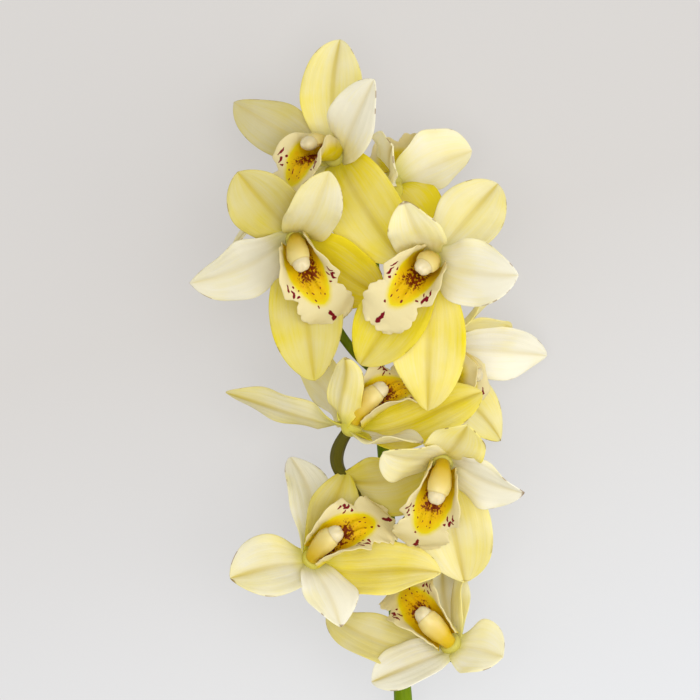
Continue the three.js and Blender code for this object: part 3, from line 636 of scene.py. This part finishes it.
def tepal_finish(add, place):
    """Cymbidium petal: cream to lemon yellow, waxy, and thin enough for light to shine through in a warmer
    yellow. A deeper line marks the midrib, the root is greener, faint streaks 1 mm wide follow the veins,
    clouds of 20 mm vary it, and the rim near the tip has a few brown flecks. The yellowness is partly its
    own tone and partly painted shade, and the greyness is painted shade that dims blades lying in shade."""
    uv = add("UVMap", uv_map="UVMap")
    u, v = (add("SeparateXYZ", [uv], out=axis) for axis in "XY")
    names = ("gold_with_painted_shade", "rib", "wide", "long", "painted_shade_grey")
    gold_with_painted_shade, rib, wide, long, painted_shade_grey = (add("Attribute", out="Fac", attribute_name=name) for name in names)

    across = add("Math", [u, wide], operation="MULTIPLY")
    forward = add("Math", [v, long], operation="MULTIPLY")
    on_blade = add("CombineXYZ", [across, forward, gold_with_painted_shade])
    stretched = add("Mapping", {"Vector": on_blade, "Scale": (1100, 45, 9)})
    streaks = add("TexNoise", {"Vector": stretched, "Scale": 1.0, "Detail": 3.0})
    clouds = add("TexNoise", {"Vector": place, "Scale": 55.0, "Detail": 2.0})
    streaky = add("MapRange", [streaks, 0.3, 0.7, -0.09, 0.09])
    cloudy = add("MapRange", [clouds, 0.3, 0.7, -0.22, 0.14])
    yellow = add("Math", [gold_with_painted_shade, cloudy], operation="ADD")
    yellow = add("Math", [yellow, streaky], operation="ADD", use_clamp=True)
    root = add("MapRange", [v, 0.0, 0.28, 0.5, 0.0], interpolation_type="SMOOTHSTEP")

    off_middle = add("Math", [u, 0.5], operation="SUBTRACT")
    away = add("Math", [off_middle], operation="ABSOLUTE")
    rim = add("MapRange", [away, 0.475, 0.495, 0.0, 1.0])
    outer = add("MapRange", [v, 0.55, 0.85, 0.0, 1.0])
    rim = add("Math", [rim, outer], operation="MULTIPLY")
    tip = add("MapRange", [v, 0.972, 0.99, 0.0, 1.0])
    border = add("Math", [rim, tip], operation="MAXIMUM")
    flecks = add("TexNoise", {"Vector": place, "Scale": 170.0, "Detail": 2.0})
    fleck = add("MapRange", [flecks, 0.56, 0.6, 0.0, 0.75])
    fleck = add("Math", [border, fleck], operation="MULTIPLY")

    # Cream to lemon by the yellowness, which is partly painted shade on blades that lie in shade.
    colour = add("Mix", [yellow, "#F9F7EE", "#F7EA2E"], data_type="RGBA")
    # Painted shade: blades that lie in shade are dimmed toward grey olive.
    colour = add("Mix", [painted_shade_grey, colour, "#C9C2A0"], data_type="RGBA", blend_type="MULTIPLY")
    for amount, tint in ((rib, "#D2BC00"), (root, "#D6D23E"), (fleck, "#8F6A2C")):
        colour = add("Mix", [amount, colour, tint], data_type="RGBA")

    grain = add("TexNoise", {"Vector": place, "Scale": 1500.0, "Detail": 2.0})
    relief = add("Math", [grain, 0.4, streaks], operation="MULTIPLY_ADD")
    bump = add("Bump", {"Height": relief, "Strength": 0.4, "Distance": 0.0003})
    waxy = add("BsdfPrincipled", {
        "Base Color": colour, "Roughness": 0.48, "Normal": bump,
        "Specular IOR Level": 0.22, "Sheen Weight": 0.08, "Sheen Roughness": 0.4,
    })
    warm = add("Mix", [0.35, colour, "#FAF080"], data_type="RGBA", blend_type="MULTIPLY")
    shining = add("BsdfTranslucent", {"Color": warm, "Normal": bump})
    return add("MixShader", [0.42, waxy, shining])


tepal_material = make_material("waxy cream-yellow orchid petal with painted shade", tepal_finish)
for bloom in BLOOMS:
    axes = Axes(bloom)
    skins = [receptacle_skin(axes)]
    skins += [tepal_skin(axes, tepal, share) for tepal, share in zip(bloom["tepals"], RIB_SHARE)]
    name = bloom["name"]
    make_piece(name + "_petals_and_sepals", skins, tepal_material, name + "_tepals")


# ------------------------ lips
# The lip is the third petal, changed into a landing place: a channel under the column with two raised
# keels, side lobes that stand up round the column, and a middle lobe that turns down, with a ruffled
# cream rim. It is yellow inside, and dotted and dashed with crimson.

LIP_LINE = [  # right of, up from and in front of the heart
    (0, -2.9, 3.3), (0, -5, 8.3), (0, -7.5, 13.8), (0, -11.5, 18.5), (0, -17.5, 21.5), (0, -25, 21.8),
    (0, -34.5, 18.0),
]
LIP_HALF_WIDTH = [
    (0, 8.8), (0.07, 12.4), (0.18, 15.4), (0.3, 16.4), (0.41, 15.8), (0.49, 13.6), (0.545, 9.6), (0.575, 8.8),
    (0.62, 11.2), (0.7, 12.2), (0.8, 12), (0.9, 10.6), (0.96, 8.2), (1, 5),
]
LIP_BEND = [
    (0, 0.178), (0.1, 0.172), (0.2, 0.15), (0.3, 0.13), (0.42, 0.1), (0.52, 0.06), (0.62, 0.02), (1, -0.03),
]
SIDE_LOBES = (0.1, 0.57, 0.12)  # start, end and softness of each stretch, as shares of the length
MIDDLE_LOBE = (0.62, np.inf, 0.14)
KEELS = (0.1, 0.56, 0.12)
LIP_THICKNESS = 0.95
LIP_EDGE = 0.3
LIP_ROWS = 100
LIP_COLUMNS = 60
LIP_CROWDING = 0.75
KEEL_HEIGHT = 1.4
KEEL_APART = 2.2  # from the middle line
KEEL_WIDTH = 0.8
LIP_RUFFLE = 0.7
LIP_SCALLOP = 0.09  # as a share of the half-width
LIP_SCALLOPS = 8.5  # round lobes over the whole length
LIP_END_SCALLOP = 1.1
LEAN_BACK = 0.15  # how far the side lobes lean back over the lip's base, as a share of their height
RIM_ROLL = 1.6  # how far the side lobes' rims roll outward
SIDE_WAVE = 0.5
SIDE_WAVES = 5
BLOTCH_HALF_WIDTH = [(0, 11), (12, 11.5), (22, 6.2), (33, 1.5)]  # by the distance from the lip's base
BLOTCH_END = 30
THROAT_HALF_WIDTH = 5.0
THROAT_END = 19.5
LIP_MAP_SIZE = 60.0  # mm of lip, laid flat, that the UV square covers
MARK_WOBBLE = 0.028  # how far marks are shifted at random, as a share of the UV square
LENGTH_OVER_RADIUS = 2.2  # a mark's length over the radius at which it fades


def lip_skin(axes, size):
    """The lip, with t along it and s across: a middle line that runs forward and turns down, and rows
    across it bent into a channel. Its UV map is the lip laid flat, in real proportions. yellow and throat
    are where the blotch and the browner throat lie. size scales it about the bloom's heart."""
    line = smooth_line(LIP_LINE, LIP_ROWS)
    along = unit(np.gradient(line, axis=0))
    t = np.linspace(0, 1, LIP_ROWS)[:, None]
    s = crowded(LIP_COLUMNS, LIP_CROWDING)
    side_lobe = window(t, *SIDE_LOBES)
    middle_lobe = window(t, *MIDDLE_LOBE)
    phase = rng.uniform(0, 2 * np.pi, 4)
    lobes = np.abs(np.sin(np.pi * LIP_SCALLOPS * t + phase[0] + 0.5 * np.sign(s))) ** 0.8 - 0.7
    half = through(LIP_HALF_WIDTH, t) * (1 + LIP_SCALLOP * middle_lobe * lobes)
    end_lobes = np.abs(np.sin(1.6 * np.pi * s + phase[3])) ** 0.8 * window(t, 0.95, np.inf, 0.1)

    # Each row bent to an arc, with rolled and waved rims.
    bend = through(LIP_BEND, t)
    bend = np.where(np.abs(bend) < 1e-4, 1e-4, bend)
    q = half * s
    roll = RIM_ROLL * np.clip((np.abs(s) - 0.75) / 0.25, 0, 1) ** 2 * side_lobe
    x = np.sin(bend * q) / bend + roll * np.sign(s)
    rise = (1 - np.cos(bend * q)) / bend - 0.25 * roll
    near_rim = np.maximum(np.abs(s), np.clip((t - 0.78) / 0.22, 0, 1))
    ruffle = near_rim**3 * middle_lobe * np.sin(2 * np.pi * (3.6 * t + 0.9 * s) + phase[1])
    lobe_wave = np.abs(s) ** 4 * side_lobe * np.sin(2 * np.pi * SIDE_WAVES * t + phase[2] + np.sign(s))
    rise = rise + LIP_RUFFLE * ruffle + SIDE_WAVE * lobe_wave
    further = LIP_END_SCALLOP * end_lobes - LEAN_BACK * rise * (1 - window(t, 0.3, np.inf, 0.4))
    middle = axes.beside(line[:, None], along[:, None], x, rise, further)

    # Two faces, with the keels raised on the upper one.
    thick = LIP_EDGE + (LIP_THICKNESS - LIP_EDGE) * np.sqrt(1 - np.abs(s) ** 4) * (1 - 0.5 * t**6)
    grid, inward = two_faces(middle, thick / 2, flip=-1)
    keels = np.exp(-(((np.abs(q) - KEEL_APART) / KEEL_WIDTH) ** 2)) * window(t, *KEELS)
    grid[:, :LIP_COLUMNS] += KEEL_HEIGHT * keels[..., None] * inward
    grid = axes.heart + (grid - axes.heart) * size

    # The lip laid flat, and where its colours lie.
    y = t * distances(line)[-1]
    flat = np.stack(np.broadcast_arrays(0.5 + q / LIP_MAP_SIZE, y / LIP_MAP_SIZE), -1)
    blotch = 1 - window(np.abs(q), np.interp(y, *np.array(BLOTCH_HALF_WIDTH, float).T), np.inf, 6)
    blotch = blotch * (1 - window(y + 0.12 * np.abs(q), BLOTCH_END, np.inf, 8))
    throat = np.exp(-((q / THROAT_HALF_WIDTH) ** 4)) * window(y, -np.inf, THROAT_END, 6)

    def both_faces(values, beneath):
        values = np.broadcast_to(values, middle.shape[:2])
        return np.concatenate([values, beneath * values[:, ::-1]], axis=1)

    return {
        "grid": grid, "sheet": True, "uv": np.concatenate([flat, flat[:, ::-1]], axis=1),
        "inner": both_faces(1.0, 0), "yellow": both_faces(blotch, 0.5), "throat": both_faces(throat, 0),
    }


# Crimson marks: mm to the right of the middle line, mm from the lip's base, length, width, turn in degrees.
LIP_MARKS = [
    (0.0, 36.8, 5.4, 1.7, 86), (-0.2, 39.5, 2.6, 2.8, 20),
    (-10.4, 20.8, 3.2, 1.0, 60), (-12.4, 18.8, 2.6, 0.9, 75), (-9.4, 18.6, 1.4, 1.0, 10),
    (-8.4, 22.4, 1.4, 1.0, 40), (-7.4, 20.4, 1.0, 0.8, 0),
    (10.2, 21.0, 3.2, 1.2, 120), (9.0, 19.6, 2.2, 0.9, 60), (12.2, 18.8, 2.4, 0.9, 100),
    (7.8, 22.4, 1.2, 0.9, 0), (11.4, 20.4, 1.2, 0.9, 0),
    (-1.9, 24.0, 1.7, 0.6, 80), (-2.4, 27.2, 1.6, 0.7, 84), (-2.8, 30.4, 1.4, 0.8, 80),
    (1.8, 23.2, 1.4, 0.6, 100), (2.5, 26.2, 1.1, 0.6, 95), (-4.4, 22.8, 1.2, 0.5, 70),
    (0.6, 25.6, 1.0, 0.5, 90),
]


def lip_finish(add, place):
    """Orchid lip: cream rim, egg-yellow blotch down the middle, throat speckled brown about every
    millimetre, and crimson marks on the side lobes and at the tip. It is velvety from papillae, drawn
    0.4 mm wide so that they show, and light shines through it a little."""
    uv = add("UVMap", uv_map="UVMap")
    wobble = add("TexNoise", {"Vector": place, "Scale": 420.0, "Detail": 1.0}, out="Color")
    centred = add("VectorMath", [wobble, (0.5, 0.5, 0.5)], operation="SUBTRACT")
    shift = add("VectorMath", [centred, MARK_WOBBLE], operation="SCALE")
    flat = add("VectorMath", [uv, shift], operation="ADD")
    in_mm = add("Mapping", {
        "Vector": flat, "Location": (-LIP_MAP_SIZE / 2, 0, 0), "Scale": (LIP_MAP_SIZE,) * 3,
    })
    x, y = (add("SeparateXYZ", [in_mm], out=axis) for axis in "XY")
    away = add("Math", [x], operation="ABSOLUTE")
    names = ("inner", "yellow", "throat")
    inner, yellow, throat = (add("Attribute", out="Fac", attribute_name=name) for name in names)

    clouds = add("TexNoise", {"Vector": place, "Scale": 300.0, "Detail": 2.0})
    uneven = add("MapRange", [clouds, 0.3, 0.7, 0.85, 1.15])
    blotch = add("Math", [yellow, uneven], operation="MULTIPLY")
    lemon = add("MapRange", [blotch, 0.05, 0.5, 0.0, 1.0])
    egg = add("MapRange", [blotch, 0.5, 1.15, 0.0, 1.0])
    warmth = add("Math", [throat, 0.5], operation="MULTIPLY")

    spots = add("TexVoronoi", {"Vector": in_mm, "Scale": 0.95})
    merged = add("Math", [throat, -0.42, spots], operation="MULTIPLY_ADD")
    spot = add("MapRange", [merged, 0.22, 0.34, 1.0, 0.0])
    beside = add("MapRange", [away, 4.0, 6.5, 1.0, 0.0])
    behind = add("MapRange", [y, 18.0, 22.5, 1.0, 0.0])
    speckle = beside
    for limit in (behind, spot, inner):
        speckle = add("Math", [speckle, limit], operation="MULTIPLY")

    unmarked = inner
    for right, forward, length, width, turn in LIP_MARKS:
        local = add("Mapping", {
            "Vector": in_mm, "Location": (right, forward, 0), "Rotation": (0, 0, np.radians(turn)),
            "Scale": (length / LENGTH_OVER_RADIUS, width / LENGTH_OVER_RADIUS, 1),
        }, vector_type="TEXTURE")
        level = add("VectorMath", [local, (1, 1, 0)], operation="MULTIPLY")
        from_middle = add("VectorMath", [level], operation="LENGTH")
        outside = add("MapRange", [from_middle, 0.9, 1.12, 0.0, 1.0])
        unmarked = add("Math", [unmarked, outside], operation="MULTIPLY")
    marked = add("Math", [inner, unmarked], operation="SUBTRACT")

    colour = "#EBDFAC"
    yellows = (lemon, "#E8D618"), (egg, "#E6B800"), (warmth, "#CE8A00")
    for amount, tint in (*yellows, (speckle, "#7E3208"), (marked, "#7D0A1E")):
        colour = add("Mix", [amount, colour, tint], data_type="RGBA")

    papillae = add("TexVoronoi", {"Vector": place, "Scale": 2600.0})
    bump = add("Bump", {"Height": papillae, "Strength": 0.3, "Distance": 0.00015})
    velvet = add("BsdfPrincipled", {
        "Base Color": colour, "Roughness": 0.5, "Normal": bump,
        "Specular IOR Level": 0.12, "Sheen Weight": 0.02, "Sheen Roughness": 0.35,
    })
    shining = add("BsdfTranslucent", {"Color": colour, "Normal": bump})
    return add("MixShader", [0.3, velvet, shining])


lip_material = make_material("velvety spotted orchid lip", lip_finish)
for bloom in BLOOMS:
    skin = lip_skin(Axes(bloom), bloom["lip_size"])
    make_piece(bloom["name"] + "_spotted_lip", [skin], lip_material, bloom["name"] + "_lip")


# ------------------------ columns
# The column is the fused stamen and style: a club that arches over the lip, round on top, flat and
# hollowed beneath, with a narrow wing on each side and the wet stigma just behind its tip.

COLUMN_LINE = [(0, 1.2, 3.3), (0, 1.8, 8), (0, 1.6, 12.8), (0, 0.3, 16.8), (0, -2.2, 20.2)]  # as the lip's
COLUMN_HALF_WIDTH = [(0, 3.2), (0.45, 4.2), (0.75, 4.7), (0.92, 4.3), (1, 3.8)]
COLUMN_HALF_HEIGHT = [(0, 2.8), (0.5, 2.9), (0.85, 3.4), (1, 3.2)]
COLUMN_ROWS = 60
COLUMN_SIDES = 44
COLUMN_LINE_POINTS = 200
STIGMA_DEPTH = 1.6
CHANNEL_DEPTH = 0.5  # of the hollow beneath that leads to the stigma
WING = 0.5
STIGMA = (0.72, 0.93, 0.14)  # start, end and softness of each stretch, as shares of the length
CHANNEL = (0.1, 0.7, 0.2)
WINGED = (0.35, 0.97, 0.2)


def column_rings(share, beyond, size, sides):
    """Rings across the column's line at the given shares of its length, moved on by beyond and scaled by
    size: the middle and direction of each, and its points' place sideways and up, as on an ellipse."""
    line = smooth_line(COLUMN_LINE, COLUMN_LINE_POINTS)
    number = np.arange(COLUMN_LINE_POINTS)
    at = share * (COLUMN_LINE_POINTS - 1)
    direction = unit(np.gradient(line, axis=0))
    centre = np.stack([np.interp(at, number, line[:, k]) for k in range(3)], -1)
    along = unit(np.stack([np.interp(at, number, direction[:, k]) for k in range(3)], -1))
    centre = centre + along * beyond[:, None]
    turn = once_round(sides)
    share, size = share[:, None], size[:, None]
    width = through(COLUMN_HALF_WIDTH, share) * size * np.cos(turn)
    high = through(COLUMN_HALF_HEIGHT, share) * size * np.sin(turn)
    return centre[:, None], along[:, None], width, high, turn


def column_skin(axes):
    """The column: rings flatter beneath, with a wing on each side, hollowed near the end for the stigma."""
    t = np.linspace(0, 1, COLUMN_ROWS)
    centre, along, width, high, turn = column_rings(t, t * 0, t * 0 + 1, COLUMN_SIDES)
    t = t[:, None]
    below = np.clip(0.2 - np.sin(turn), 0, 1)
    wings = WING * np.exp(-((np.sin(turn) / 0.25) ** 2)) * np.sign(np.cos(turn)) * window(t, *WINGED)
    hollow = STIGMA_DEPTH * below**2 * np.exp(-((np.cos(turn) / 0.55) ** 2)) * window(t, *STIGMA)
    channel = CHANNEL_DEPTH * below**3 * window(t, *CHANNEL)
    rise = high * np.where(np.sin(turn) < 0, 0.92, 1) + hollow + channel
    grid = axes.beside(centre, along, width + wings, rise)
    uv = np.stack(np.broadcast_arrays(turn / (2 * np.pi), t), -1)
    return {"grid": grid, "uv": uv, "beneath": below}


def column_finish(add, place):
    """Waxy column: egg yellow at its foot, paler to ivory at the tip, uneven over 5 mm. It has brown-red
    dashes beneath, 0.4 mm wide and 2 mm long, and a faint line of the same where the cap's rim sits."""
    uv = add("UVMap", uv_map="UVMap")
    v = add("SeparateXYZ", [uv], out="Y")
    beneath = add("Attribute", out="Fac", attribute_name="beneath")
    soft = add("TexNoise", {"Vector": place, "Scale": 200.0, "Detail": 2.0})
    blend = add("MapRange", [v, 0.32, 1.0, -0.1, 0.9])
    paler = add("Math", [soft, 0.2, blend], operation="MULTIPLY_ADD", use_clamp=True)
    body = add("Mix", [paler, "#CCAA0A", "#D6C580"], data_type="RGBA")
    lines = add("Mapping", {"Vector": uv, "Scale": (60, 7, 1)})
    dashes = add("TexNoise", {"Vector": lines, "Scale": 1.0, "Detail": 1.0})
    dash = add("MapRange", [dashes, 0.5, 0.58, 0.0, 1.0])
    under = add("MapRange", [beneath, 0.12, 0.4, 0.0, 0.9])
    streak = add("Math", [dash, under], operation="MULTIPLY")
    joint = add("MapRange", [v, 0.955, 0.975, 0.0, 0.22])
    marked = add("Math", [streak, joint], operation="MAXIMUM")
    colour = add("Mix", [marked, body, "#8C3A18"], data_type="RGBA")
    bump = add("Bump", {"Height": soft, "Strength": 0.15, "Distance": 0.0003})
    return add("BsdfPrincipled", {
        "Base Color": colour, "Roughness": 0.38, "Normal": bump, "Coat Weight": 0.1, "Coat Roughness": 0.3,
        "Subsurface Weight": 0.35, "Subsurface Radius": (0.004, 0.003, 0.001), "Subsurface Scale": 0.6,
    })


column_material = make_material("waxy yellow orchid column", column_finish)
for bloom in BLOOMS:
    skin = column_skin(Axes(bloom))
    make_piece(bloom["name"] + "_waxy_column", [skin], column_material, bloom["name"] + "_column")


# ------------------------ anther caps
# A small ivory helmet on the column's end covers the two pollinia. It has two lobes with a groove between
# them, and its rim laps over the column's end.

CAP_ROWS = 30
CAP_SIDES = 48
CAP_LENGTH = 4.6
CAP_LAP = 0.3  # how far its rim reaches back over the column's end
CAP_GROOVE = 0.35
CAP_GROOVE_WIDTH = 1.1
CAP_NARROWING = 0.12  # how much lower the cap is in its groove, as a share of its height


def cap_skin(axes):
    """The cap: rings that close like a dome beyond the column's end, pressed in along the middle plane."""
    way = np.sin(np.linspace(0, np.pi / 2, CAP_ROWS))
    size = np.maximum((1 - way**2.3) ** 0.5, 0.04)
    beyond = (CAP_LENGTH + CAP_LAP) * way - CAP_LAP
    centre, along, width, high, _ = column_rings(way * 0 + 1, beyond, size, CAP_SIDES)
    lobes = np.exp(-((width / CAP_GROOVE_WIDTH) ** 2)) * window(way[:, None], 0.6, 1.3, 0.5)
    pressed = centre - along * (CAP_GROOVE * lobes)[..., None]
    return {"grid": axes.beside(pressed, along, width, high * (1 - CAP_NARROWING * lobes))}


def cap_finish(add, place):
    """Anther cap: smooth ivory, uneven over 3 mm, a little translucent, with a satin gloss."""
    soft = add("TexNoise", {"Vector": place, "Scale": 320.0, "Detail": 2.0})
    colour = add("Mix", [soft, "#C9BA8A", "#D9CCA6"], data_type="RGBA")
    bump = add("Bump", {"Height": soft, "Strength": 0.2, "Distance": 0.0004})
    return add("BsdfPrincipled", {
        "Base Color": colour, "Roughness": 0.35, "Normal": bump,
        "Subsurface Weight": 0.4, "Subsurface Radius": (0.003, 0.0025, 0.0015), "Subsurface Scale": 0.6,
    })


cap_material = make_material("ivory anther cap", cap_finish)
for bloom in BLOOMS:
    skin = cap_skin(Axes(bloom))
    name = bloom["name"]
    make_piece(name + "_ivory_cap", [skin], cap_material, name + "_anther_cap")


# ------------------------ surface, light and camera
# A pale plain surface with painted light: it glows a little, as a light table would, which lifts the
# shadows round the blooms, and its colour and glow are painted brighter towards the lower right. Large
# soft lights hang over it. The camera looks straight down on the blooms.

FLOOR_HALF = 3.0  # m
BLOOMS_MIDDLE = np.array([0, 0.1, 0.05])  # where the lights point, in the frame
CAMERA_PLACE = (-9.8, 108.1, 1555)  # over the blooms, in the frame, mm
PIXEL_SIZE = 0.43  # mm of plant in one pixel
PIXEL_DISTANCE = 1500  # mm from the camera to where that is so
IMAGE_WIDTH = 700
SENSOR = 36.0


def floor_finish(add, place):
    """Matt pale paper with painted light: it glows as if lit from beneath, which lifts the shadows, and its
    colour and glow are painted brighter over 240 mm towards the lower right.
    """
    to_lower_right = add("VectorMath", [place, (0.3, -0.95, 0)], operation="DOT_PRODUCT")
    # Painted light: brighter towards the lower right.
    painted_brightening = add("MapRange", [to_lower_right, -0.14, 0.1, 0.0, 1.0])
    painted_glow = add("Mix", [painted_brightening, "#C3C0BD", "#D1D2D4"], data_type="RGBA")
    shade = add("Mix", [1.0, painted_glow, "#9C9C9C"], data_type="RGBA", blend_type="MULTIPLY")
    return add("BsdfPrincipled", {
        "Base Color": shade, "Roughness": 0.9, "Specular IOR Level": 0.1,
        "Emission Color": painted_glow, "Emission Strength": 0.85,
    })


floor_mesh = bpy.data.meshes.new("pale_surface")
corners = [(FLOOR_HALF * x, FLOOR_HALF * y, 0) for x, y in ((-1, -1), (1, -1), (1, 1), (-1, 1))]
floor_mesh.from_pydata(corners, [], [(0, 1, 2, 3)])
floor_mesh.materials.append(make_material("matt pale paper with painted glow", floor_finish))
floor = bpy.data.objects.new("pale_surface", floor_mesh)
bpy.context.scene.collection.objects.link(floor)


def soft_light(name, place, size, power, colour):
    """A square area light at place, turned to the blooms: its size in metres, its power in watts."""
    data = bpy.data.lights.new(name, "AREA")
    data.size = size
    data.energy = power
    data.color = linear(colour)[:3]
    light = bpy.data.objects.new(name, data)
    bpy.context.scene.collection.objects.link(light)
    light.location = place
    aim = BLOOMS_MIDDLE - np.array(place)
    tilt = np.arccos(-aim[2] / np.linalg.norm(aim))
    light.rotation_euler = (tilt, 0, np.arctan2(aim[1], aim[0]) - np.pi / 2)


soft_light("overhead_softbox", (0.1, 0.0, 2.0), 1.5, 26.5, "#FFFFFF")
soft_light("window_side", (1.5, -0.3, 1.3), 1.4, 13, "#FFFFFF")

world = bpy.data.worlds.new("soft_room")
world.use_nodes = True
background = world.node_tree.nodes["Background"]
background.inputs["Color"].default_value = linear("#FDFDFF")
background.inputs["Strength"].default_value = 0.65
bpy.context.scene.world = world
bpy.context.scene.view_settings.view_transform = "Standard"

camera_data = bpy.data.cameras.new("camera")
camera_data.sensor_width = SENSOR
camera_data.lens = SENSOR * PIXEL_DISTANCE / (PIXEL_SIZE * IMAGE_WIDTH)
camera = bpy.data.objects.new("camera", camera_data)
bpy.context.scene.collection.objects.link(camera)
camera.location = [value * MM for value in CAMERA_PLACE]
bpy.context.scene.camera = camera

bpy.context.view_layer.update()
